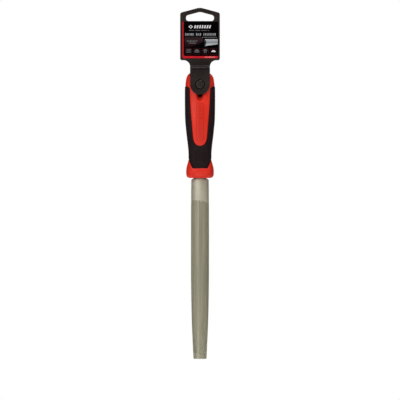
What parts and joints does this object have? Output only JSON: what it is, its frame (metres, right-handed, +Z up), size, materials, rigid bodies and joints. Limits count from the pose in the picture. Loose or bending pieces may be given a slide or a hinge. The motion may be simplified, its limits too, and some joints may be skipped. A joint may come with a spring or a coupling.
{
  "type": "half-round hand file",
  "caption": "Half-round metal file with a two-colour soft-grip handle, hanging by a snap rivet from a plastic retail hanger with a printed label.",
  "frame": {"origin": "top of the peg slot's inner roof in the hanger, midway through the plate's thickness", "axes": "+Z up along the file as it hangs, -Y towards the round side of the blade and the front label, +X to the right seen from the front"},
  "size_m": [0.0442, 0.0278, 0.3906],
  "materials": {
    "blade_steel": "satin, cut with file teeth",
    "core_red": "moulded, soft gloss",
    "grip_soft": "fine matt texture",
    "hanger_plastic": "moulded satin",
    "label_print": "printed film"
  },
  "bodies": {
    "hanger": {"hanger": "hanger_plastic", "label_front": "label_print", "label_back": "label_print"},
    "rivet": {"rivet_pin_half": "hanger_plastic", "rivet_socket_half": "hanger_plastic"},
    "file": {"file_blade": "blade_steel", "handle_core": "core_red", "grip_sleeve": "grip_soft"}
  },
  "joints": [
    {"name": "file_swivel", "type": "hinge", "parent": "hanger", "child": "rivet", "pos_m": [0, 0, -0.0809], "axis": [0, 1, 0], "range_deg": [-90, 90]},
    {"name": "slot_lift", "type": "slide", "parent": "rivet", "child": "file", "axis": [0, 0, 1], "range_m": [0, 0.005]}
  ]
}
